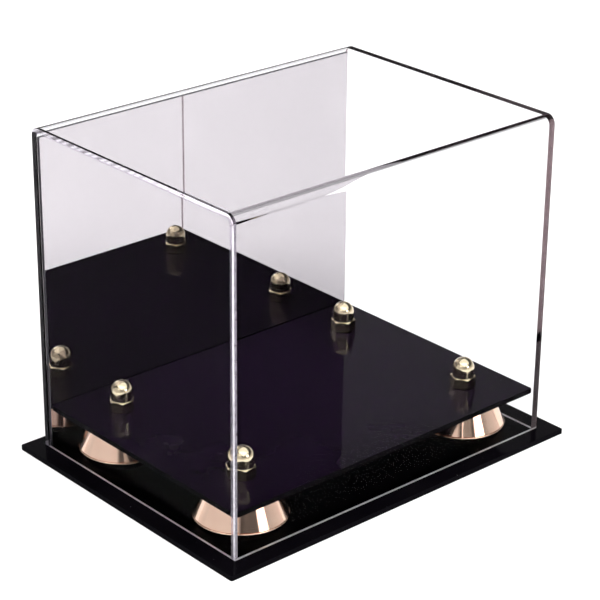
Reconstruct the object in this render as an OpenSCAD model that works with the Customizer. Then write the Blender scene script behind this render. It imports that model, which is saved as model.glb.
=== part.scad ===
// Display case: a clear lift-off cover with a mirrored back, over a black
// platform that stands on four conical risers screwed to a black base.
// Millimetres. The origin is the centre of the base's underside.
// X runs along the long side, the clear front faces -Y, +Z is up.

/* [Cover] */
// Outside width of the cover, along X
cover_w = 226; // [200:1:300]
// Outside depth of the cover, along Y
cover_d = 167; // [150:1:220]
// Height of the cover
cover_h = 190; // [120:1:260]
// Thickness of the cover's clear sheet
sheet_t = 3; // [2:0.5:4]
// Outside radius of the cover's two bends
bend_r = 5.5; // [4.5:0.5:7]

/* [Mirror] */
// Thickness of the mirror sheet without its backing
mirror_t = 1.8; // [1:0.1:2.5]
// Thickness of the mirror's backing
backing_t = 0.2; // [0.1:0.1:0.5]
// Space between the mirror's top edge and the start of the back bend
mirror_drop = 0; // [0:0.5:3]

/* [Base] */
// Width of the base, along X
base_w = 248; // [236:1:320]
// Depth of the base, along Y
base_d = 186; // [176:1:240]
// Thickness of the base
base_t = 3; // [3:0.5:6]
// Radius of the upright corners of base and platform
corner_r = 1.2; // [0.6:0.2:6]

/* [Platform] */
// Thickness of the platform
platform_t = 3; // [2:0.5:6]
// Space between the platform's edge and the inside of the cover
platform_gap = 0.5; // [0.3:0.1:2]

/* [Risers] */
// Height of a riser
riser_h = 23; // [15:1:40]
// Radius of a riser's foot, where it stands on the base
riser_foot_r = 23; // [18:0.1:24]
// Radius of a riser's rim, its widest part
riser_rim_r = 24.8; // [20:0.1:26]
// Radius of a riser's top
riser_top_r = 16; // [10:0.5:17.5]
// Height of a riser's rim above the base
riser_rim_h = 4.8; // [3:0.1:7]
// Wall thickness of a riser
riser_wall = 1.8; // [1:0.1:3]
// Distance between riser centres along X
riser_pitch_x = 164; // [120:1:168]
// Distance between riser centres along Y
riser_pitch_y = 101; // [80:1:106]

/* [Fasteners] */
// Diameter of the screw's shank
screw_d = 5; // [4:0.5:6]
// Diameter of the countersunk screw head
screw_head_d = 10; // [8:0.5:11]
// Width of the nut across its flats
nut_flats = 13; // [10:0.5:14]
// Height of the nut's hexagon
nut_hex_h = 6.5; // [4:0.5:8]
// Height of the whole nut
nut_h = 17.5; // [14:0.5:19]
// Diameter of the nut's dome
nut_dome_d = 12.5; // [9:0.5:12.5]

/* [Hidden] */
CORNERS = ["front_left", "front_right", "back_left", "back_right"];

ROUND = 96;
CUT = 1;

// Where each corner's stack of screw, riser and nut stands
function corner_x(c) = (c == "front_left" || c == "back_left" ? -1 : 1) * riser_pitch_x / 2;
function corner_y(c) = (c == "front_left" || c == "front_right" ? -1 : 1) * riser_pitch_y / 2;

// How far each nut happened to be turned when it came tight
function nut_turn(c) = c == "front_left" ? 2 : c == "front_right" ? 5 : c == "back_left" ? -4 : 11;

// Heights of the stack
riser_z = base_t;
platform_z = riser_z + riser_h;
nut_z = platform_z + platform_t;

// The inside of the cover is centred on the base, so the mirror pushes
// the outside of the cover back by half of the mirror's thickness.
mirror_stack = mirror_t + backing_t;
cover_y = mirror_stack / 2;
inside_w = cover_w - 2 * sheet_t;
inside_d = cover_d - 2 * sheet_t - mirror_stack;
inside_h = cover_h - sheet_t;
bend_inside_r = bend_r - sheet_t;
mirror_h = inside_h - bend_inside_r - mirror_drop;

// Screw and its holes
hole_play = 0.2;
head_play = 0.05;
thread_play = 0.02;
screw_r = screw_d / 2;
hole_r = screw_r + hole_play;
head_r = screw_head_d / 2;
head_rim = 0.2;
head_h = head_r - screw_r + head_rim;
head_recess = 0.1;
socket_flats = 3;
socket_h = 1.4;
screw_reach = 11;
nut_bore_h = 12;

// Riser details
boss_r = 6;
riser_roof = 2.4;
rim_step = 0.2;
rim_thick = 1.2;

// Nut details
nut_corner_r = nut_flats / 2 / cos(30);
nut_chamfer_r = nut_flats / 2 - 0.2;
nut_chamfer_slope = 0.55;
nut_neck_r = nut_dome_d / 2;
nut_dome_z = nut_h - nut_neck_r;

// Flat plate with rounded upright corners, centred, standing on z = 0
module plate(w, d, t) {
    cube_w = w - 2 * corner_r;
    cube_d = d - 2 * corner_r;
    translate([-w / 2, -cube_d / 2, 0]) cube([w, cube_d, t]);
    translate([-cube_w / 2, -d / 2, 0]) cube([cube_w, d, t]);
    for (sx = [-1, 1], sy = [-1, 1])
        translate([sx * cube_w / 2, sy * cube_d / 2, 0])
            cylinder(r = corner_r, h = t, $fn = ROUND);
}

// Block along X whose two upper long edges are rounded
module round_top_block(w, d, h, r) {
    translate([-w / 2, -d / 2, 0]) cube([w, d, h - r]);
    translate([-w / 2, -d / 2 + r, 0]) cube([w, d - 2 * r, h]);
    for (s = [-1, 1])
        translate([-w / 2, s * (d / 2 - r), h - r])
            rotate([0, 90, 0])
                cylinder(r = r, h = w, $fn = ROUND);
}

// Puts its children at one corner's stack
module at_corner(c) {
    translate([corner_x(c), corner_y(c), 0]) children();
}

module screw_hole(z, t) {
    for (c = CORNERS)
        at_corner(c)
            translate([0, 0, z - CUT])
                cylinder(r = hole_r, h = t + 2 * CUT, $fn = ROUND);
}

// Base with four holes countersunk from below
module base_plate() {
    sink_r = head_r + head_play;
    color("#0b0a0d")
    difference() {
        plate(base_w, base_d, base_t);
        screw_hole(0, base_t);
        for (c = CORNERS)
            at_corner(c) {
                translate([0, 0, -CUT])
                    cylinder(r = sink_r, h = CUT + head_recess + head_rim, $fn = ROUND);
                translate([0, 0, head_recess + head_rim])
                    cylinder(r1 = sink_r, r2 = screw_r + head_play, h = head_r - screw_r, $fn = ROUND);
            }
    }
}

// Raised plate that the displayed object stands on
module platform() {
    color("#1d1a22")
    difference() {
        translate([0, 0, platform_z])
            plate(inside_w - 2 * platform_gap, inside_d - 2 * platform_gap, platform_t);
        screw_hole(platform_z, platform_t);
    }
}

// Hollow cone on a foot that narrows below its rim, with a boss for the screw
module riser(c) {
    cone_foot_r = riser_rim_r - rim_step;
    inner_top_r = riser_top_r - riser_wall;
    color("#d8b08c")
    at_corner(c)
        translate([0, 0, riser_z])
            rotate_extrude($fn = ROUND)
                polygon([
                    [hole_r, 0],
                    [boss_r, 0],
                    [boss_r, riser_h - riser_roof],
                    [inner_top_r, riser_h - riser_roof],
                    [cone_foot_r - riser_wall, riser_rim_h],
                    [riser_foot_r - riser_wall, 0],
                    [riser_foot_r, 0],
                    [riser_rim_r, riser_rim_h - rim_thick],
                    [riser_rim_r, riser_rim_h],
                    [cone_foot_r, riser_rim_h + rim_step],
                    [riser_top_r, riser_h],
                    [hole_r, riser_h]
                ]);
}

// Countersunk screw that goes up through base, riser and platform
module screw(c) {
    shank_top = nut_z + screw_reach;
    color("#c9c4ba")
    at_corner(c)
        difference() {
            translate([0, 0, head_recess])
                rotate_extrude($fn = ROUND)
                    polygon([
                        [0, 0],
                        [head_r, 0],
                        [head_r, head_rim],
                        [screw_r, head_h],
                        [screw_r, shank_top - head_recess - 0.5],
                        [screw_r - 0.5, shank_top - head_recess],
                        [0, shank_top - head_recess]
                    ]);
            translate([0, 0, head_recess - CUT])
                cylinder(d = socket_flats / cos(30), h = CUT + socket_h, $fn = 6);
        }
}

// Hex nut with a closed dome, and a blind bore for the screw
module cap_nut(c) {
    color("#c6b994")
    at_corner(c)
        translate([0, 0, nut_z])
            difference() {
                union() {
                    intersection() {
                        rotate([0, 0, nut_turn(c)]) cylinder(r = nut_corner_r, h = nut_hex_h, $fn = 6);
                        cylinder(
                            r1 = nut_chamfer_r + nut_hex_h / nut_chamfer_slope,
                            r2 = nut_chamfer_r,
                            h = nut_hex_h,
                            $fn = ROUND
                        );
                    }
                    cylinder(r = nut_neck_r, h = nut_dome_z, $fn = ROUND);
                    translate([0, 0, nut_dome_z]) sphere(r = nut_neck_r, $fn = ROUND);
                }
                translate([0, 0, -CUT])
                    cylinder(r = screw_r + thread_play, h = CUT + nut_bore_h, $fn = ROUND);
            }
}

// One sheet bent twice: front, top and back
module cover_shell() {
    color("#e8edf2", 0.3)
    translate([0, cover_y, base_t])
        difference() {
            round_top_block(cover_w, cover_d, cover_h, bend_r);
            translate([0, 0, -CUT])
                round_top_block(
                    cover_w + 2 * CUT,
                    cover_d - 2 * sheet_t,
                    inside_h + CUT,
                    bend_inside_r
                );
        }
}

// Flat end of the cover, inside the bent sheet; side is -1 or 1
module end_panel(side) {
    color("#dde6ee", 0.3)
    translate([side * (cover_w - sheet_t) / 2, cover_y, base_t])
        round_top_block(sheet_t, cover_d - 2 * sheet_t, inside_h, bend_inside_r);
}

// Mirror sheet inside the back of the cover, from its clear front to the film
module mirror_panel() {
    color("#c9c6d4")
    translate([-inside_w / 2, inside_d / 2, base_t])
        cube([inside_w, mirror_t, mirror_h]);
}

// Dark backing of the mirror sheet
module mirror_backing() {
    color("#1b1a1c")
    translate([-inside_w / 2, inside_d / 2 + mirror_t, base_t])
        cube([inside_w, backing_t, mirror_h]);
}

base_plate();
platform();
for (c = CORNERS) {
    riser(c);
    screw(c);
    cap_nut(c);
}
cover_shell();
end_panel(-1);  // end_panel_left
end_panel(1);  // end_panel_right
mirror_panel();
mirror_backing();
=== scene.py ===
"""Looks of the display case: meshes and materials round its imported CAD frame.

Everything is in metres in the frame's axes: X along the long side, the clear
front faces -Y, the mirror stands at the back, +Z is up.
"""

import math

import bmesh
import bpy
from mathutils import Matrix, Vector


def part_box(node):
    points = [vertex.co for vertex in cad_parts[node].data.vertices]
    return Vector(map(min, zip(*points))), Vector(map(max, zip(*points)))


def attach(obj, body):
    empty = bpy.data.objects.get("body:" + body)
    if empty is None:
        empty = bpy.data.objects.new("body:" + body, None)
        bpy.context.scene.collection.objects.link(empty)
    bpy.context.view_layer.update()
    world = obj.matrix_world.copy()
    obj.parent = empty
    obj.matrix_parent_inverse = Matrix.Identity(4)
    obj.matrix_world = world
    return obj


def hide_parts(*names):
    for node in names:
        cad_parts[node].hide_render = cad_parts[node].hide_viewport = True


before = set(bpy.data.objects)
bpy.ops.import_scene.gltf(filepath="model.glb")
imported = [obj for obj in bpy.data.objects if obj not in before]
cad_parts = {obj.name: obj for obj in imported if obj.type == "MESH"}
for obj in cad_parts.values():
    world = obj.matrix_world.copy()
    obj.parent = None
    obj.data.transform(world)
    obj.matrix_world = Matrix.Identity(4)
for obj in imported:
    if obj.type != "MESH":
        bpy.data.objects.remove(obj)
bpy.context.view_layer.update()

MM = 0.001
CORNERS = ("front_left", "front_right", "back_left", "back_right")

# ---------------------------------------------------------------- dimensions

# Cover: one bent sheet, and two flat ends bonded inside it. The seam gap keeps bonded faces
# from lying in each other, and the rest gap keeps the cover's foot just off the base.
SHELL_LOW, SHELL_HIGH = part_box("cover_shell")
END_LOW, END_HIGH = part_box("end_panel_left")
SHEET = END_HIGH.x - END_LOW.x
BEND_OUTSIDE = 5.5 * MM
BEND_INSIDE = BEND_OUTSIDE - SHEET
BEND_STEPS = 14
EDGE_CHAMFER = 0.2 * MM
SEAM_GAP = 0.02 * MM
REST_GAP = 0.05 * MM
# Width of the tape at the mirror's left end, and of the whiter part of the left front edge, whose milk
# is a painted highlight
TAPED_WIDTH = 4 * SHEET
MILKY_HIGHLIGHT_WIDTH = 1.3 * MM
MIRROR_CHAMFER = 0.15 * MM
PAINT_CHAMFER = 0.05 * MM

# Black plates
PLATE_CORNER = 1.2 * MM
PLATE_CORNER_STEPS = 8
PLATE_EDGE = 0.3 * MM
PLATE_EDGE_MIDDLE = 0.3 * PLATE_EDGE
HOLE_STEPS = 48

# Screws and their holes
SHANK_R = 2.5 * MM
HOLE_R = 2.7 * MM
HEAD_R = 5 * MM
SINK_R = 5.05 * MM
HEAD_RECESS = 0.1 * MM
HEAD_RIM = 0.2 * MM
SOCKET_FLATS = 3 * MM
HEAD_EDGE = 0.1 * MM
SCREW_TIP = 0.5 * MM
SOCKET_DEEP = 1.4 * MM
SOCKET_EDGE = 0.1 * MM
SOCKET_POINT = 0.4 * MM
SOCKET_SIDE_STEPS = 8

# Risers
RISER_WALL = 1.8 * MM
RISER_ROOF = 2.4 * MM
RISER_ROOF_FILLET = 0.8 * MM
RISER_TOP_R = 16 * MM
RISER_FOOT_R = 23 * MM
RISER_RIM_H = 4.8 * MM
RISER_BEAD_R = 0.6 * MM
RISER_STEP = 0.2 * MM
RISER_EDGE = 0.25 * MM
RISER_GROOVE = 0.15 * MM
RISER_TOP_ROUND = 0.5 * MM
RISER_SHOULDER_DROP = 1.2 * MM
RISER_SHOULDER_OUT = 0.4 * MM
RISER_BEAD_STEPS = 10
RISER_TOP_STEPS = 4
BOSS_R = 6 * MM
LATHE_STEPS = 128

# Dome nuts
NUT_FLATS = 13 * MM
NUT_HEX_H = 6.5 * MM
NUT_DOME_R = 6.25 * MM
NUT_CHAMFER_R = NUT_FLATS / 2 - 0.2 * MM
NUT_CHAMFER_SLOPE = 0.55
NUT_CORNER_ROUND = 0.35 * MM
NUT_CORNER_STEPS = 4
NUT_FLAT_STEPS = 10
NUT_FOOT_EDGE = 0.25 * MM
NUT_FOOT_R = NUT_FLATS / 2 - 0.1 * MM
NUT_NECK_FILLET = 0.35 * MM
NUT_NECK_STEPS = 4
NUT_DOME_STEPS = 22
NUT_NECK_MOST_R = NUT_CHAMFER_R - 0.01 * MM
NUT_BORE_R = SHANK_R + 0.02 * MM
NUT_BORE_H = 12 * MM
NUT_TURN = {"front_left": 2, "front_right": 5, "back_left": -4, "back_right": 11}

# Smallest angle in degrees that is kept as a crisp edge
SHARP_FROM = 32.0
NUT_SHARP_FROM = 24.0
SHEET_SHARP_FROM = 20.0


# ----------------------------------------------------------- shader building

ACRYLIC_IOR = 1.49
# Share of the light that the clear sheet mirrors, as a power of the real share
MIRRORING_POWER = 2.5

# Ranges of a noise's values over which a pattern goes from one look to the other
PATCHES = (0.35, 0.65)
CLOUDS = (0.3, 0.7)


class Surface:
    """A node material that is put together a node at a time. Colours have three numbers."""

    def __init__(self, name):
        self.material = bpy.data.materials.new(name)
        self.material.use_nodes = True
        self.tree = self.material.node_tree
        self.tree.nodes.clear()
        self.place = self.add("ShaderNodeTexCoord").outputs["Object"]

    def add(self, kind, inputs=None, **settings):
        """A new node, with values or links for its inputs."""
        node = self.tree.nodes.new(kind)
        for name, value in settings.items():
            setattr(node, name, value)
        for name, value in (inputs or {}).items():
            socket = node.inputs[name]
            if isinstance(value, bpy.types.NodeSocket):
                self.tree.links.new(value, socket)
            elif socket.type == "RGBA":
                socket.default_value = (*value, 1.0)
            else:
                socket.default_value = value
        return node

    def noise(self, scale, detail=2.0, vector=None):
        """Noise from 0 to 1; scale is its features per metre."""
        inputs = {"Vector": vector or self.place, "Scale": scale, "Detail": detail}
        return self.add("ShaderNodeTexNoise", inputs).outputs["Fac"]

    def stretched(self, x, y, z):
        """Object coordinates scaled along each axis, for patterns that run one way."""
        node = self.add("ShaderNodeVectorMath", {0: self.place, 1: (x, y, z)}, operation="MULTIPLY")
        return node.outputs["Vector"]

    def ring_place(self):
        """Distance along a turned surface from its axis and foot, the same all the way round."""
        axes = self.add("ShaderNodeSeparateXYZ", {"Vector": self.place})
        flat = self.add("ShaderNodeCombineXYZ", {"X": axes.outputs["X"], "Y": axes.outputs["Y"]})
        radius = self.add("ShaderNodeVectorMath", {0: flat.outputs["Vector"]}, operation="LENGTH")
        return self.combine("ADD", radius.outputs["Value"], axes.outputs["Z"])

    def rings(self, scale):
        """Fine lathe rings from 0 to 1; scale is rings per metre."""
        inputs = {"W": self.ring_place(), "Scale": scale, "Detail": 3.0}
        return self.add("ShaderNodeTexNoise", inputs, noise_dimensions="1D").outputs["Fac"]

    def spread(self, value, low, high, to_low=0.0, to_high=1.0):
        """value from low..high becomes to_low..to_high, and stays there beyond."""
        inputs = {
            "Value": value,
            "From Min": low,
            "From Max": high,
            "To Min": to_low,
            "To Max": to_high,
        }
        return self.add("ShaderNodeMapRange", inputs).outputs["Result"]

    def patchy(self, scale, detail, low, high):
        """A value between low and high that varies in soft patches."""
        return self.spread(self.noise(scale, detail), *PATCHES, low, high)

    def combine(self, operation, first, second):
        """Result of a math operation on two numbers."""
        return self.add("ShaderNodeMath", {0: first, 1: second}, operation=operation).outputs["Value"]

    def along(self, axis):
        """Object coordinate on one axis."""
        return self.add("ShaderNodeSeparateXYZ", {"Vector": self.place}).outputs[axis]

    def blend(self, factor, first, second):
        """Colour between first and second."""
        node = self.add("ShaderNodeMix", {"Factor": factor}, data_type="RGBA")
        colours = [socket for socket in node.inputs if socket.type == "RGBA"]
        for socket, colour in zip(colours, (first, second)):
            socket.default_value = (*colour, 1.0)
        return next(socket for socket in node.outputs if socket.type == "RGBA")

    def bump(self, height, strength, distance):
        """Normal of a surface with small relief; distance is how deep height 1 is."""
        inputs = {"Height": height, "Strength": strength, "Distance": distance}
        return self.add("ShaderNodeBump", inputs).outputs["Normal"]

    def principled(self, **inputs):
        named = {key.replace("_", " "): value for key, value in inputs.items()}
        return self.add("ShaderNodeBsdfPrincipled", named).outputs["BSDF"]

    def transparent(self, tint):
        return self.add("ShaderNodeBsdfTransparent", {"Color": tint}).outputs["BSDF"]

    def mix(self, factor, first, second):
        """Shader between first and second."""
        return self.add("ShaderNodeMixShader", {0: factor, 1: first, 2: second}).outputs["Shader"]

    def done(self, shader):
        """The finished material."""
        output = self.add("ShaderNodeOutputMaterial")
        self.tree.links.new(shader, output.inputs["Surface"])
        return self.material


# ------------------------------------------------------------------ materials


def clear_glass(surface, tint, polish=0.0):
    """Clear acrylic that mirrors less than real acrylic, except where all light is mirrored."""
    through = {"Color": tint, "Roughness": polish, "IOR": ACRYLIC_IOR}
    back = {"Color": (0.998, 0.997, 0.998), "Roughness": polish}
    bent = surface.add("ShaderNodeBsdfRefraction", through).outputs["BSDF"]
    mirrored = surface.add("ShaderNodeBsdfGlossy", back).outputs["BSDF"]
    fresnel = surface.add("ShaderNodeFresnel", {"IOR": ACRYLIC_IOR}).outputs["Fac"]
    return surface.mix(surface.combine("POWER", fresnel, MIRRORING_POWER), bent, mirrored)


def clear_acrylic():
    """Clear polished sheet with a few faint wipe marks."""
    s = Surface("clear_acrylic")
    wipes = s.noise(14.0, 3.0, s.stretched(1.0, 1.0, 0.35))
    return s.done(clear_glass(s, (0.992, 0.991, 0.996), s.spread(wipes, 0.55, 0.8, 0.0, 0.02)))


def acrylic_edge(name, least_milk, most_milk, milky_to):
    """Polished cut edge of the sheet: clear, with faint saw lines, and milky in front of Y milky_to,
    which on the left front edge is a painted highlight.
    """
    s = Surface(name)
    saw = s.noise(1200.0)
    glass = clear_glass(s, (0.96, 0.95, 0.985), s.spread(saw, 0.4, 0.7, 0.0, 0.06))
    milk = s.principled(Base_Color=(0.84, 0.81, 0.88), Roughness=0.35)
    soft = 0.2 * MM
    near = s.spread(s.along("Y"), milky_to - soft, milky_to + soft, 1.0, 0.0)
    haze = s.patchy(300.0, 3.0, least_milk, most_milk)
    return s.done(s.mix(s.combine("MULTIPLY", haze, near), glass, milk))


def sawn_edge():
    """Cut edge at the foot of the cover: milky where the saw left it, clear where it is polished."""
    s = Surface("sawn_edge")
    saw = s.noise(1500.0)
    milk = s.principled(
        Base_Color=s.blend(s.spread(saw, *CLOUDS), (0.88, 0.86, 0.88), (0.97, 0.95, 0.97)),
        Roughness=0.5,
        Normal=s.bump(saw, 0.2, 0.05 * MM),
    )
    glass = clear_glass(s, (0.985, 0.98, 0.995))
    return s.done(s.mix(s.patchy(400.0, 2.0, 0.05, 0.25), milk, glass))


def bonded_seam(name, tint):
    """Face inside a solvent weld: tinted, with a few tiny bubbles and dry dashes."""
    s = Surface(name)
    bubble = s.principled(Base_Color=(0.10, 0.09, 0.11), Roughness=0.3)
    dashes = s.spread(s.noise(260.0, 3.0), 0.68, 0.73, 0.0, 0.85)
    return s.done(s.mix(dashes, s.transparent(tint), bubble))


def milky_highlight_seam(tint):
    """Face inside a solvent weld, made milky white as a painted highlight for the light that runs along
    the sheet.
    """
    s = Surface("milky_highlight_seam")
    milk = s.principled(Base_Color=(0.90, 0.87, 0.93), Roughness=0.4)
    return s.done(s.mix(s.patchy(300.0, 3.0, 0.22, 0.38), s.transparent(tint), milk))


def welded_through():
    """The other side of the weld, which the sheet's own face leaves clear."""
    s = Surface("welded_through")
    return s.done(s.transparent((0.96, 0.95, 0.97)))


def taped_face():
    """Inside of the sheet where the mirror is held.

    The tape along its left end takes all of the light in the sheet, and the paint beyond takes a little.
    """
    s = Surface("taped_face")
    soft = 0.5 * MM
    tape_ends = SHELL_LOW.x + TAPED_WIDTH
    tape = s.spread(s.along("X"), tape_ends, tape_ends + soft, 1.0, 0.0)
    touching = s.combine("MAXIMUM", tape, s.patchy(40.0, 2.0, 0.05, 0.12))
    return s.done(s.mix(touching, clear_glass(s, (0.985, 0.985, 0.995)), s.transparent((1.0, 1.0, 1.0))))


def black_acrylic(name, dark, light, shine):
    """Glossy black sheet with faint smudges, dust and a slight waviness."""
    s = Surface(name)
    smudge = s.noise(22.0, 4.0)
    dust = s.spread(s.noise(1100.0, 1.0), 0.80, 0.84)
    sheet = s.principled(
        Base_Color=s.blend(s.spread(smudge, *CLOUDS), dark, light),
        Roughness=s.spread(smudge, 0.4, 0.75, 0.02, 0.07),
        IOR=ACRYLIC_IOR,
        Specular_IOR_Level=shine,
        Normal=s.bump(s.noise(9.0, 1.0), 0.02, 2 * MM),
    )
    speck = s.principled(Base_Color=(0.20, 0.19, 0.21), Roughness=0.7)
    return s.done(s.mix(dust, sheet, speck))


def black_edge():
    """Machined edge of the black sheet: duller than its faces, with fine cutter lines."""
    s = Surface("black_edge")
    lines = s.noise(900.0, 2.0, s.stretched(1.0, 1.0, 0.12))
    return s.done(
        s.principled(
            Base_Color=s.blend(s.noise(60.0), (0.002, 0.0018, 0.0024), (0.005, 0.0045, 0.006)),
            Roughness=s.spread(lines, *CLOUDS, 0.2, 0.4),
            Specular_IOR_Level=0.005,
            Normal=s.bump(lines, 0.1, 0.1 * MM),
        )
    )


def turned_metal(name, light, deep, rough_low, rough_high, ring_scale, ring_strength):
    """Plated metal with fine lathe rings and a little variation in colour."""
    s = Surface(name)
    rings = s.rings(ring_scale)
    cloud = s.noise(70.0, 3.0)
    return s.done(
        s.principled(
            Base_Color=s.blend(s.spread(cloud, 0.35, 0.7), light, deep),
            Metallic=1.0,
            Roughness=s.spread(rings, *CLOUDS, rough_low, rough_high),
            Normal=s.bump(rings, ring_strength, 0.05 * MM),
        )
    )


def brushed_steel():
    """Plain steel with coarse turning marks."""
    s = Surface("brushed_steel")
    rings = s.rings(5000.0)
    return s.done(
        s.principled(
            Base_Color=s.blend(s.noise(200.0), (0.52, 0.50, 0.47), (0.62, 0.60, 0.57)),
            Metallic=1.0,
            Roughness=s.spread(rings, *CLOUDS, 0.2, 0.4),
            Normal=s.bump(rings, 0.2, 0.05 * MM),
        )
    )


def mirror_film():
    """Silvered acrylic: a pale violet mirror, not quite flat."""
    s = Surface("mirror_film")
    haze = s.noise(18.0, 3.0)
    return s.done(
        s.principled(
            # The silver is darker than real silvering: painted shade that dims the over-bright floor
            # seen in it.
            Base_Color=s.blend(s.spread(haze, *CLOUDS), (0.47, 0.448, 0.465), (0.49, 0.467, 0.483)),
            Metallic=1.0,
            Roughness=s.spread(haze, 0.5, 0.8, 0.0, 0.025),
            Normal=s.bump(s.noise(7.0, 1.0), 0.02, 3 * MM),
        )
    )


def mirror_edge():
    """Cut edge of the mirror sheet: dark, with a clear gloss."""
    s = Surface("mirror_edge")
    return s.done(
        s.principled(
            Base_Color=s.blend(s.noise(250.0), (0.030, 0.028, 0.034), (0.060, 0.056, 0.068)),
            Roughness=0.25,
            Coat_Weight=0.6,
        )
    )


def mirror_paint():
    """Dark protective paint on the back of the mirror, with a little orange peel."""
    s = Surface("mirror_paint")
    peel = s.noise(700.0, 2.0)
    return s.done(
        s.principled(
            Base_Color=s.blend(s.noise(35.0, 3.0), (0.010, 0.010, 0.012), (0.017, 0.017, 0.020)),
            Roughness=s.spread(peel, *CLOUDS, 0.4, 0.6),
            Normal=s.bump(peel, 0.15, 0.05 * MM),
        )
    )


# Tints of the light that goes through the cover's welds
LEFT_TINT = (0.94, 0.925, 0.955)
RIGHT_TINT = (0.46, 0.40, 0.40)
DARK_TINT = (0.2, 0.18, 0.2)

CLEAR = clear_acrylic()
EDGE = acrylic_edge("acrylic_edge", 0.0, 0.02, SHELL_HIGH.y)
# The milky left front edge is a painted highlight for the light that runs along the sheet to that edge.
MILKY_HIGHLIGHT_EDGE = acrylic_edge("milky_highlight_edge", 0.5, 0.7, SHELL_LOW.y + MILKY_HIGHLIGHT_WIDTH)
SAWN = sawn_edge()
SEAMS = {
    "left": bonded_seam("bonded_seam_left", LEFT_TINT),
    "right": bonded_seam("bonded_seam_right", RIGHT_TINT),
}
# The milky weld at the left front is a painted highlight too.
MILKY_HIGHLIGHT_SEAM = milky_highlight_seam(LEFT_TINT)
DARK_SEAM = bonded_seam("dark_seam", DARK_TINT)
WELD = welded_through()
TAPED = taped_face()
BASE_BLACK = black_acrylic("base_black", (0.0015, 0.0012, 0.002), (0.003, 0.0025, 0.0035), 0.02)
PLATFORM_BLACK = black_acrylic("platform_black", (0.008, 0.003, 0.012), (0.011, 0.005, 0.016), 0.06)
BLACK_EDGE = black_edge()
GOLD = turned_metal("rose_gold", (0.86, 0.62, 0.47), (0.80, 0.55, 0.41), 0.06, 0.13, 4000.0, 0.12)
BRASS = turned_metal("pale_brass", (0.66, 0.57, 0.39), (0.58, 0.49, 0.33), 0.07, 0.14, 3500.0, 0.08)
STEEL = brushed_steel()
MIRROR = mirror_film()
MIRROR_EDGE = mirror_edge()
MIRROR_PAINT = mirror_paint()


# -------------------------------------------------------------- mesh building


def ring(bm, points, z=None):
    """New vertices at points, which have two numbers each if z is given."""
    return [bm.verts.new((p[0], p[1], z) if z is not None else p) for p in points]


def join_rings(bm, first, second, slot=0, closed=True):
    """Quads between two rings with as many points each."""
    count = len(first)
    for i in range(count if closed else count - 1):
        j = (i + 1) % count
        bm.faces.new((first[i], first[j], second[j], second[i])).material_index = slot


def loop_edges(bm, loop):
    """The edges between a loop's vertices, made where they don't exist yet."""
    edges = []
    for a, b in zip(loop, loop[1:] + loop[:1]):
        edges.append(bm.edges.get((a, b)) or bm.edges.new((a, b)))
    return edges


def close_to_point(bm, loop, z):
    """Triangles from a ring to a new vertex on the Z axis."""
    tip = bm.verts.new((0.0, 0.0, z))
    for first, second in zip(loop, loop[1:] + loop[:1]):
        bm.faces.new((first, second, tip))


def fill_between(bm, outer, holes):
    """Flat faces inside outer and outside the holes."""
    edges = [e for loop in (outer, *holes) for e in loop_edges(bm, loop)]
    bmesh.ops.triangle_fill(bm, use_beauty=True, edges=edges)


def circle(radius, centre=(0.0, 0.0), steps=LATHE_STEPS):
    """Outline of a circle, counter-clockwise."""
    turns = [2 * math.pi * i / steps for i in range(steps)]
    return [(centre[0] + radius * math.cos(t), centre[1] + radius * math.sin(t)) for t in turns]


def rounded_rectangle(low, high, radius):
    """Outline with round corners, counter-clockwise from the lower left."""
    middles = (
        (low[0] + radius, low[1] + radius, math.pi),
        (high[0] - radius, low[1] + radius, 1.5 * math.pi),
        (high[0] - radius, high[1] - radius, 0.0),
        (low[0] + radius, high[1] - radius, 0.5 * math.pi),
    )
    points = []
    for x, y, start in middles:
        for i in range(PLATE_CORNER_STEPS + 1):
            turn = start + 0.5 * math.pi * i / PLATE_CORNER_STEPS
            points.append((x + radius * math.cos(turn), y + radius * math.sin(turn)))
    return points


def finish_piece(bm, name, materials, sharp_from=SHARP_FROM, at=(0.0, 0.0, 0.0)):
    """Turns the working mesh into an object, smooth where its faces meet at less than sharp_from."""
    bmesh.ops.recalc_face_normals(bm, faces=bm.faces)
    mesh = bpy.data.meshes.new(name)
    bm.to_mesh(mesh)
    bm.free()
    for material in materials:
        mesh.materials.append(material)
    mesh.polygons.foreach_set("use_smooth", [True] * len(mesh.polygons))
    mesh.set_sharp_from_angle(angle=math.radians(sharp_from))
    piece = bpy.data.objects.new(name, mesh)
    piece.location = at
    bpy.context.scene.collection.objects.link(piece)
    weighted = piece.modifiers.new("even_flats", "WEIGHTED_NORMAL")
    weighted.keep_sharp = True
    return piece


def place(piece, body, node):
    """Puts a piece in a CAD node's stead."""
    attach(piece, body)
    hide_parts(node)


def lathe(name, profile, material, at):
    """Closed solid turned round Z. Each profile point is a radius and a height."""
    bm = bmesh.new()
    loops = [ring(bm, circle(r), z) for r, z in profile]
    for first, second in zip(loops, loops[1:] + loops[:1]):
        join_rings(bm, first, second)
    return finish_piece(bm, name, (material,), at=at)


def arc(middle, radius, start, end, steps):
    """Points on a round stretch of a profile. Angles are in degrees from the first axis."""
    turns = [math.radians(start + (end - start) * i / steps) for i in range(steps + 1)]
    return [(middle[0] + radius * math.cos(t), middle[1] + radius * math.sin(t)) for t in turns]


# ---------------------------------------------------------------- black plates


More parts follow.
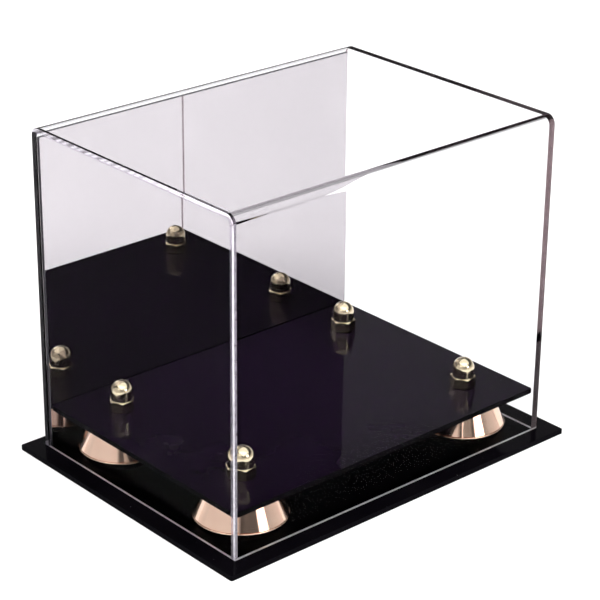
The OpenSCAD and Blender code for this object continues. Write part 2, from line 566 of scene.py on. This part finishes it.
def plate(name, node, centres, hole, materials):
    """Sheet with round corners, softened edges and a hole at each centre.

    hole lists the radius and the height above the sheet's underside, bottom to top.
    materials are those of the two faces and of the edges.
    """
    low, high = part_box(node)
    on_edges = 1
    levels = (
        (low.z, PLATE_EDGE),
        (low.z + PLATE_EDGE_MIDDLE, PLATE_EDGE_MIDDLE),
        (low.z + PLATE_EDGE, 0.0),
        (high.z - PLATE_EDGE, 0.0),
        (high.z - PLATE_EDGE_MIDDLE, PLATE_EDGE_MIDDLE),
        (high.z, PLATE_EDGE),
    )
    bm = bmesh.new()
    loops = []
    for z, inset in levels:
        outline = rounded_rectangle(
            (low.x + inset, low.y + inset),
            (high.x - inset, high.y - inset),
            PLATE_CORNER - inset,
        )
        loops.append(ring(bm, outline, z))
    for lower, upper in zip(loops, loops[1:]):
        join_rings(bm, lower, upper, on_edges)
    bottoms, tops = [], []
    for centre in centres:
        walls = [ring(bm, circle(r, centre, HOLE_STEPS), low.z + h) for r, h in hole]
        for lower, upper in zip(walls, walls[1:]):
            join_rings(bm, lower, upper, on_edges)
        bottoms.append(walls[0])
        tops.append(walls[-1])
    fill_between(bm, loops[0], bottoms)
    fill_between(bm, loops[-1], tops)
    return finish_piece(bm, name, materials)


def stack_centre(corner):
    """Axis of one corner's stack of screw, riser and nut."""
    low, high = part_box("riser_" + corner)
    return ((low.x + high.x) / 2, (low.y + high.y) / 2)


centres = [stack_centre(c) for c in CORNERS]
base_low, base_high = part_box("base_plate")
platform_low, platform_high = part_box("platform")

sunk_hole = (
    (SINK_R, 0.0),
    (SINK_R, HEAD_RECESS + HEAD_RIM),
    (HOLE_R, HEAD_RECESS + HEAD_RIM + HEAD_R - SHANK_R),
    (HOLE_R, base_high.z - base_low.z),
)
straight_hole = ((HOLE_R, 0.0), (HOLE_R, platform_high.z - platform_low.z))

base = plate("black_base", "base_plate", centres, sunk_hole, (BASE_BLACK, BLACK_EDGE))
place(base, "base", "base_plate")
platform = plate("black_platform", "platform", centres, straight_hole, (PLATFORM_BLACK, BLACK_EDGE))
place(platform, "base", "platform")


# --------------------------------------------------------------------- risers


def riser(corner):
    """Turned hollow cone with a round bead at its widest, a groove above it and a boss inside."""
    low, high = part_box("riser_" + corner)
    rim_r = (high.x - low.x) / 2
    tall = high.z - low.z
    roof = tall - RISER_ROOF
    cone_foot_r = rim_r - RISER_STEP
    bead = (rim_r - RISER_BEAD_R, RISER_RIM_H - RISER_BEAD_R)
    top_round = (RISER_TOP_R - RISER_TOP_ROUND, tall - RISER_TOP_ROUND)
    inside = [
        (HOLE_R, 0.0),
        (BOSS_R, 0.0),
        (BOSS_R, roof - RISER_ROOF_FILLET),
        (BOSS_R + RISER_ROOF_FILLET, roof),
        (RISER_TOP_R - RISER_WALL, roof),
        (cone_foot_r - RISER_WALL, RISER_RIM_H),
        (RISER_FOOT_R - RISER_WALL, 0.0),
    ]
    foot = [(RISER_FOOT_R - RISER_EDGE, 0.0), (RISER_FOOT_R, RISER_EDGE)]
    groove = [
        (cone_foot_r - 2 * RISER_GROOVE, RISER_RIM_H + RISER_GROOVE),
        (cone_foot_r - RISER_GROOVE, RISER_RIM_H + 2 * RISER_GROOVE),
        (cone_foot_r - 2 * RISER_GROOVE, RISER_RIM_H + 4 * RISER_GROOVE),
    ]
    shoulder = [(RISER_TOP_R + RISER_SHOULDER_OUT, tall - RISER_SHOULDER_DROP)]
    profile = inside + foot
    profile += arc(bead, RISER_BEAD_R, -60, 100, RISER_BEAD_STEPS)
    profile += groove + shoulder
    profile += arc(top_round, RISER_TOP_ROUND, 30, 90, RISER_TOP_STEPS)
    profile += [(HOLE_R, tall)]
    x, y = stack_centre(corner)
    piece = lathe("gold_riser_" + corner, profile, GOLD, (x, y, low.z))
    place(piece, "base", "riser_" + corner)


# --------------------------------------------------------------------- screws


def hexagon(flats, per_side):
    """Outline of a hexagon with per_side points on each side, by rising angle."""
    tips = circle(flats / 2 / math.cos(math.pi / 6), steps=6)
    points = []
    for (ax, ay), (bx, by) in zip(tips, tips[1:] + tips[:1]):
        for i in range(per_side):
            share = i / per_side
            points.append((ax + (bx - ax) * share, ay + (by - ay) * share))
    return points


def screw(corner):
    """Countersunk screw with a hexagon socket."""
    low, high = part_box("screw_" + corner)
    x, y = stack_centre(corner)
    tall = high.z - low.z
    steps = 6 * SOCKET_SIDE_STEPS
    bm = bmesh.new()
    socket = hexagon(SOCKET_FLATS, SOCKET_SIDE_STEPS)
    mouth = hexagon(SOCKET_FLATS + 2 * SOCKET_EDGE, SOCKET_SIDE_STEPS)
    inner = [ring(bm, socket, SOCKET_DEEP), ring(bm, socket, SOCKET_EDGE), ring(bm, mouth, 0.0)]
    outline = [
        (HEAD_R - HEAD_EDGE, 0.0),
        (HEAD_R, HEAD_EDGE),
        (HEAD_R, HEAD_RIM),
        (SHANK_R, HEAD_RIM + HEAD_R - SHANK_R),
        (SHANK_R, tall - SCREW_TIP),
        (SHANK_R - SCREW_TIP, tall),
    ]
    outer = [ring(bm, circle(r, steps=steps), z) for r, z in outline]
    loops = inner + outer
    for first, second in zip(loops, loops[1:]):
        join_rings(bm, first, second)
    close_to_point(bm, inner[0], SOCKET_DEEP + SOCKET_POINT)
    close_to_point(bm, outer[-1], tall)
    piece = finish_piece(bm, "steel_screw_" + corner, (STEEL,), at=(x, y, low.z))
    place(piece, "base", "screw_" + corner)


# ------------------------------------------------------------------ dome nuts


def rounded_hexagon(flats, corner_round, turn):
    """Outline of a hexagon whose corners are slightly round, turned by turn."""
    reach = (flats / 2 - corner_round) / math.cos(math.pi / 6)

    def rounding(tip, bend):
        """Point of the corner at angle tip whose normal is at angle bend."""
        return (
            reach * math.cos(tip) + corner_round * math.cos(bend),
            reach * math.sin(tip) + corner_round * math.sin(bend),
        )

    points = []
    for side in range(6):
        tip = math.pi / 3 * side + turn
        for i in range(NUT_CORNER_STEPS + 1):
            points.append(rounding(tip, tip + math.pi / 3 * (i / NUT_CORNER_STEPS - 0.5)))
        last_x, last_y = points[-1]
        next_x, next_y = rounding(tip + math.pi / 3, tip + math.pi / 6)
        for i in range(1, NUT_FLAT_STEPS):
            share = i / NUT_FLAT_STEPS
            points.append((last_x + (next_x - last_x) * share, last_y + (next_y - last_y) * share))
    return points


def dome_nut(corner):
    """Hexagon with a chamfered top, and a closed dome over a blind bore."""
    low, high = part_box("cap_nut_" + corner)
    x, y = stack_centre(corner)
    tall = high.z - low.z
    outline = rounded_hexagon(NUT_FLATS, NUT_CORNER_ROUND, math.radians(NUT_TURN[corner]))
    angles = [math.atan2(py, px) for px, py in outline]
    reaches = [math.hypot(px, py) for px, py in outline]

    def turned(radius):
        """Circle with one point at the angle of each point of the outline."""
        return [(radius * math.cos(a), radius * math.sin(a)) for a in angles]

    def chamfered(z_of_reach):
        """The outline, each point as high as its distance from the axis makes it."""
        return [(px, py, z_of_reach(r)) for (px, py), r in zip(outline, reaches)]

    bm = bmesh.new()
    loops = [
        ring(bm, turned(NUT_BORE_R), NUT_BORE_H),
        ring(bm, turned(NUT_BORE_R), 0.0),
        ring(bm, turned(NUT_FOOT_R), 0.0),
        ring(bm, chamfered(lambda r: NUT_FOOT_EDGE + (r - NUT_FLATS / 2) * NUT_CHAMFER_SLOPE)),
        ring(bm, chamfered(lambda r: NUT_HEX_H - (r - NUT_CHAMFER_R) * NUT_CHAMFER_SLOPE)),
        ring(bm, turned(NUT_CHAMFER_R), NUT_HEX_H),
    ]
    neck = (NUT_DOME_R + NUT_NECK_FILLET, NUT_HEX_H + NUT_NECK_FILLET)
    for r, z in arc(neck, NUT_NECK_FILLET, 270, 180, NUT_NECK_STEPS):
        loops.append(ring(bm, turned(min(r, NUT_NECK_MOST_R)), z))
    for r, z in arc((0.0, tall - NUT_DOME_R), NUT_DOME_R, 0, 86, NUT_DOME_STEPS):
        loops.append(ring(bm, turned(r), z))
    for first, second in zip(loops, loops[1:]):
        join_rings(bm, first, second)
    close_to_point(bm, loops[-1], tall)
    close_to_point(bm, loops[0], NUT_BORE_H)
    at = (x, y, low.z)
    piece = finish_piece(bm, "dome_nut_" + corner, (BRASS,), NUT_SHARP_FROM, at)
    place(piece, "base", "cap_nut_" + corner)


for corner in CORNERS:
    riser(corner)
    screw(corner)
    dome_nut(corner)


# ---------------------------------------------------------------- clear cover


def shell_section(outside):
    """Front, top and back of the bent sheet as points in Y and Z, on its outside or its inside."""
    radius = BEND_OUTSIDE if outside else BEND_INSIDE
    front = SHELL_LOW.y + BEND_OUTSIDE
    back = SHELL_HIGH.y - BEND_OUTSIDE
    top = SHELL_HIGH.z - BEND_OUTSIDE
    foot = SHELL_LOW.z + REST_GAP
    points = [(front - radius, foot)]
    points += arc((front, top), radius, 180, 90, BEND_STEPS)
    points += arc((back, top), radius, 90, 0, BEND_STEPS)
    points += [(back + radius, foot)]
    return points


def clear_shell():
    """The bent sheet, whose inside is welded to the flat ends near both ends.

    Its left front edge is milkier than the others, as a painted highlight for the light that runs along
    the sheet.
    """
    looks = (CLEAR, WELD, EDGE, SAWN, TAPED, MILKY_HIGHLIGHT_EDGE)
    clear, weld, edge, sawn, taped, milky_highlight = range(len(looks))
    outer = shell_section(True)
    inner = shell_section(False)
    chamfer = EDGE_CHAMFER / SHEET
    softened = [
        (oy + (iy - oy) * chamfer, oz + (iz - oz) * chamfer)
        for (oy, oz), (iy, iz) in zip(outer, inner)
    ]
    stations = (
        (SHELL_LOW.x, softened),
        (SHELL_LOW.x + EDGE_CHAMFER, outer),
        (SHELL_LOW.x + SHEET, outer),
        (SHELL_HIGH.x - SHEET, outer),
        (SHELL_HIGH.x - EDGE_CHAMFER, outer),
        (SHELL_HIGH.x, softened),
    )
    bm = bmesh.new()
    outers = [ring(bm, [(x, y, z) for y, z in section]) for x, section in stations]
    inners = [ring(bm, [(x, y, z) for y, z in inner]) for x, _ in stations]
    last = len(stations) - 1
    for i in range(last):
        welded = i != last // 2
        at_end = i in (0, last - 1)
        join_rings(bm, outers[i], outers[i + 1], edge if at_end else clear, closed=False)
        join_rings(bm, inners[i], inners[i + 1], weld if welded else clear, closed=False)
        for j in (0, -1):
            corners = (outers[i][j], outers[i + 1][j], inners[i + 1][j], inners[i][j])
            bm.faces.new(corners).material_index = sawn
    for i in (0, last):
        join_rings(bm, outers[i], inners[i], edge, closed=False)
    # The flat and the chamfer of the left front edge, below the bend, which take the milky painted
    # highlight
    for face in outers[0][0].link_faces:
        if outers[0][1] in face.verts:
            face.material_index = milky_highlight
    # The inside of the back between the welds
    middle = inners[last // 2], inners[last // 2 + 1]
    behind_mirror = {middle[0][-1], middle[0][-2], middle[1][-1], middle[1][-2]}
    for face in middle[0][-1].link_faces:
        if set(face.verts) == behind_mirror:
            face.material_index = taped
    piece = finish_piece(bm, "clear_bent_sheet", looks)
    place(piece, "cover", "cover_shell")


def end_panel(side):
    """Flat end of the cover: its front, top and back edges are welded to the bent sheet.

    The left one's weld is milky at the front, as a painted highlight, and dark at the back.
    """
    looks = (CLEAR, SEAMS[side], SAWN, MILKY_HIGHLIGHT_SEAM, DARK_SEAM)
    clear, seam, sawn, milky_highlight, dark = range(len(looks))
    low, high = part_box("end_panel_" + side)
    front = low.y + SEAM_GAP
    back = high.y - SEAM_GAP
    top = high.z - SEAM_GAP
    foot = low.z + REST_GAP
    outline = [(front, foot)]
    outline += arc((front + BEND_INSIDE, top - BEND_INSIDE), BEND_INSIDE, 180, 90, BEND_STEPS)
    outline += arc((back - BEND_INSIDE, top - BEND_INSIDE), BEND_INSIDE, 90, 0, BEND_STEPS)
    outline += [(back, foot)]
    bm = bmesh.new()
    faces = [ring(bm, [(x, y, z) for y, z in outline]) for x in (low.x, high.x)]
    join_rings(bm, faces[0], faces[1], seam, closed=False)
    # So far these corners only touch the weld's two upright faces
    if side == "left":
        for face in faces[0][0].link_faces:
            face.material_index = milky_highlight
        for face in faces[0][-1].link_faces:
            face.material_index = dark
    bm.faces.new((faces[0][0], faces[0][-1], faces[1][-1], faces[1][0])).material_index = sawn
    for face in faces:
        bm.faces.new(face).material_index = clear
    piece = finish_piece(bm, "clear_end_" + side, looks)
    place(piece, "cover", "end_panel_" + side)


def thin_sheet(name, low, high, chamfer, materials):
    """Upright sheet in X and Z with chamfered edges, whose front faces -Y.

    The first of the materials is on the front, and the last on the edges and the back.
    """
    on_front = 0
    elsewhere = len(materials) - 1
    bm = bmesh.new()
    loops = []
    for y, inset in (
        (low.y, chamfer),
        (low.y + chamfer, 0.0),
        (high.y - chamfer, 0.0),
        (high.y, chamfer),
    ):
        corners = (
            (low.x + inset, y, low.z + inset),
            (high.x - inset, y, low.z + inset),
            (high.x - inset, y, high.z - inset),
            (low.x + inset, y, high.z - inset),
        )
        loops.append(ring(bm, corners))
    for first, second in zip(loops, loops[1:]):
        join_rings(bm, first, second, elsewhere)
    bm.faces.new(loops[0]).material_index = on_front
    bm.faces.new(loops[-1]).material_index = elsewhere
    return finish_piece(bm, name, materials, SHEET_SHARP_FROM)


def mirror():
    """Mirror sheet and the paint behind it, just clear of the sheets round them."""
    aside = Vector((REST_GAP, 0.0, 0.0))
    lift = Vector((0.0, 0.0, REST_GAP))
    clearance = Vector((0.0, SEAM_GAP, 0.0))
    low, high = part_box("mirror_panel")
    sheet = (low + aside + lift, high - aside)
    piece = thin_sheet("mirror_sheet", *sheet, MIRROR_CHAMFER, (MIRROR, MIRROR_EDGE))
    place(piece, "cover", "mirror_panel")
    low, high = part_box("mirror_backing")
    coat = (low + aside + lift, high - aside - clearance)
    piece = thin_sheet("mirror_paint_coat", *coat, PAINT_CHAMFER, (MIRROR_PAINT,))
    place(piece, "cover", "mirror_backing")


clear_shell()
end_panel("left")
end_panel("right")
mirror()


# ---------------------------------------------------- floor, lights and camera

FLOOR_RADIUS = 1.5
FLOOR_STEPS = 96

# Camera, as seen from the front left and a little above
AIM = Vector((-0.0002, -0.0038, 0.0897))
CAMERA_AZIMUTH = -41.69
CAMERA_ELEVATION = 24.16
CAMERA_ROLL = 0.57
CAMERA_DISTANCE = 1.1666
CAMERA_LENS = 126.8
SENSOR = 36.0

# Watts that give a square metre of softbox a brightness of 1
WATTS = 4
# Name, azimuth and elevation in degrees, distance, width, height, brightness, seen in mirrors
SOFTBOXES = (
    ("overhead_softbox", 0, 80, 1.8, 3.0, 3.0, 1.1, True),
    ("overhead_fill", 0, 80, 1.81, 3.0, 3.0, 1.1, False),
    ("camera_softbox", -42, 52, 1.5, 2.4, 1.2, 0.9, True),
    ("front_softbox", 9, 22, 1.6, 0.66, 0.6, 3.0, True),
    ("far_softbox", 138, 27, 1.8, 1.2, 0.5, 0.35, True),
    ("camera_fill", -24, 26, 1.5, 0.6, 0.4, 0.22, True),
    ("camera_lamp", -37, 26, 1.5, 0.08, 0.25, 3.0, True),
)

# The air's brightness from the horizon up, by the Z of its direction
AIR = ((0.0, 1.0), (0.12, 0.8), (0.22, 0.65), (0.32, 0.09), (0.6, 0.08), (1.0, 0.3))
# The pale wall's brightness by how far to the left its direction points, and its share by Z
WALL_BY_LEFT = ((0.66, 0.0), (0.76, 0.88))
WALL_BY_HEIGHT = ((0.55, 1.0), (0.75, 0.0))


def floor():
    """Pale round floor that ends while it is still as white as the air behind it."""
    bm = bmesh.new()
    bmesh.ops.create_circle(bm, cap_ends=True, cap_tris=True, radius=FLOOR_RADIUS, segments=FLOOR_STEPS)
    mesh = bpy.data.meshes.new("studio_floor")
    bm.to_mesh(mesh)
    bm.free()
    s = Surface("studio_floor")
    white = s.principled(Base_Color=(0.95, 0.945, 0.945), Roughness=0.9)
    mesh.materials.append(s.done(white))
    piece = bpy.data.objects.new("studio_floor", mesh)
    bpy.context.scene.collection.objects.link(piece)


def direction(azimuth, elevation):
    """Unit vector from the object. Azimuth 0 is in front and 90 to the right."""
    a, e = math.radians(azimuth), math.radians(elevation)
    return Vector((math.sin(a) * math.cos(e), -math.cos(a) * math.cos(e), math.sin(e)))


def softbox(name, azimuth, elevation, distance, width, height, brightness, mirrored):
    """Area light that looks at the object.

    One that isn't mirrored lights things without being seen in polished metal.
    """
    back = direction(azimuth, elevation)
    light = bpy.data.lights.new(name, "AREA")
    light.shape = "RECTANGLE"
    light.size = width
    light.size_y = height
    light.energy = WATTS * width * height * brightness
    lamp = bpy.data.objects.new(name, light)
    lamp.visible_glossy = mirrored
    lamp.visible_transmission = mirrored
    lamp.location = AIM + back * distance
    lamp.rotation_euler = back.to_track_quat("Z", "Y").to_euler()
    bpy.context.scene.collection.objects.link(lamp)


def studio_air():
    """World light: pale at the horizon, dark above it, with a pale wall on the left."""
    world = bpy.data.worlds.new("studio_air")
    world.use_nodes = True
    nodes, links = world.node_tree.nodes, world.node_tree.links
    nodes.clear()
    place_node = nodes.new("ShaderNodeTexCoord")
    axes = nodes.new("ShaderNodeSeparateXYZ")
    links.new(place_node.outputs["Generated"], axes.inputs["Vector"])

    def ramp(source, stops):
        """Brightness by source; each stop is a value of source and the brightness there."""
        node = nodes.new("ShaderNodeValToRGB")
        for _ in range(len(stops) - 2):
            node.color_ramp.elements.new(0.5)
        for element, (position, brightness) in zip(node.color_ramp.elements, stops):
            element.position = position
            element.color = (brightness, brightness, brightness, 1.0)
        links.new(source, node.inputs["Fac"])
        return node.outputs["Color"]

    def math_node(operation, first, second):
        """Result of a math operation on two numbers."""
        node = nodes.new("ShaderNodeMath")
        node.operation = operation
        for socket, value in zip(node.inputs, (first, second)):
            if isinstance(value, bpy.types.NodeSocket):
                links.new(value, socket)
            else:
                socket.default_value = value
        return node.outputs["Value"]

    air = ramp(axes.outputs["Z"], AIR)
    leftward = math_node("MULTIPLY", axes.outputs["X"], -1.0)
    beside = ramp(leftward, WALL_BY_LEFT)
    below = ramp(axes.outputs["Z"], WALL_BY_HEIGHT)
    wall = math_node("MULTIPLY", beside, below)
    background = nodes.new("ShaderNodeBackground")
    output = nodes.new("ShaderNodeOutputWorld")
    links.new(math_node("MAXIMUM", air, wall), background.inputs["Strength"])
    background.inputs["Color"].default_value = (0.99, 0.98, 1.0, 1.0)
    links.new(background.outputs["Background"], output.inputs["Surface"])
    bpy.context.scene.world = world


def camera():
    """Camera at the photograph's viewing angle."""
    back = direction(CAMERA_AZIMUTH, CAMERA_ELEVATION)
    data = bpy.data.cameras.new("camera")
    data.lens = CAMERA_LENS
    data.sensor_width = SENSOR
    eye = bpy.data.objects.new("camera", data)
    level = back.to_track_quat("Z", "Y").to_matrix().to_4x4()
    roll = Matrix.Rotation(math.radians(CAMERA_ROLL), 4, "Z")
    eye.matrix_world = Matrix.Translation(AIM + back * CAMERA_DISTANCE) @ level @ roll
    bpy.context.scene.collection.objects.link(eye)
    bpy.context.scene.camera = eye


camera()
floor()
studio_air()
for row in SOFTBOXES:
    softbox(*row)
bpy.context.scene.view_settings.view_transform = "Standard"

# Light runs along inside the clear sheets for many reflections before it leaves at an edge
SHEET_BOUNCES = 96
cycles = bpy.context.scene.cycles
cycles.max_bounces = SHEET_BOUNCES
cycles.glossy_bounces = SHEET_BOUNCES
cycles.transmission_bounces = SHEET_BOUNCES
